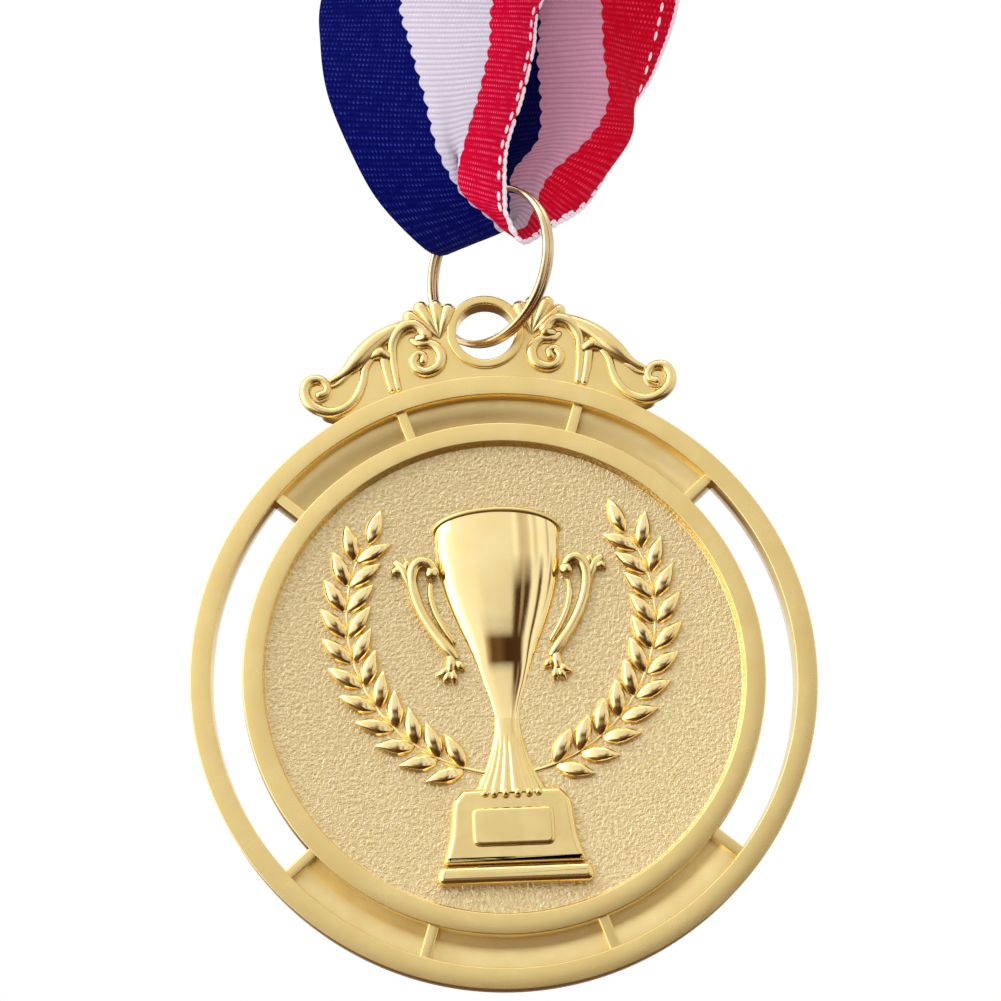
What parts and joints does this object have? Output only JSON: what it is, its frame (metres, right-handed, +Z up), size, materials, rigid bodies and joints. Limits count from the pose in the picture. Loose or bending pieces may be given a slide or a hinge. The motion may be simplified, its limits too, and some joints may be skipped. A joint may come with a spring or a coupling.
{
  "type": "award medal",
  "caption": "Round openwork award medal with a trophy cup and laurel relief, hanging by a split ring from a three-stripe neck ribbon that is wound up above it.",
  "frame": {"origin": "the held point, on top of the wound-up ribbon, straight above the middle of the medal's disc", "axes": "+Z up along the hanging medal, +Y out of the medal's back, +X to the viewer's right as the face is looked at"},
  "size_m": [0.065, 0.0232, 0.1363],
  "materials": {
    "gold_plate": "gold-coloured plate, satin with polished relief and a sandblasted field",
    "pale_gold_wire": "polished pale gold plate",
    "navy_weave": "ribbed polyester ribbon, navy stripe",
    "white_weave": "ribbed polyester ribbon, white stripe",
    "crimson_weave": "ribbed polyester ribbon, crimson stripe",
    "band_rubber": "plain elastic band",
    "white_thread": "white sewing thread"
  },
  "bodies": {
    "ribbon": {"ribbon_front_strand": "navy_weave", "ribbon_bight": "white_weave", "ribbon_back_strand": "crimson_weave", "ribbon_roll": "white_weave", "roll_band": "band_rubber", "seam_thread": "white_thread"},
    "ring": {"split_ring": "pale_gold_wire"},
    "medal": {"medal_casting": "gold_plate"}
  },
  "joints": [
    {"name": "ring_swing", "type": "hinge", "parent": "ribbon", "child": "ring", "pos_m": [0.00085, -0.0006, -0.04928], "axis": [0.7071, -0.7071, 0], "range_deg": [-10, 10]},
    {"name": "medal_swing", "type": "hinge", "parent": "ring", "child": "medal", "pos_m": [0, 0, -0.066], "axis": [0, 1, 0], "range_deg": [-35, 35]}
  ]
}
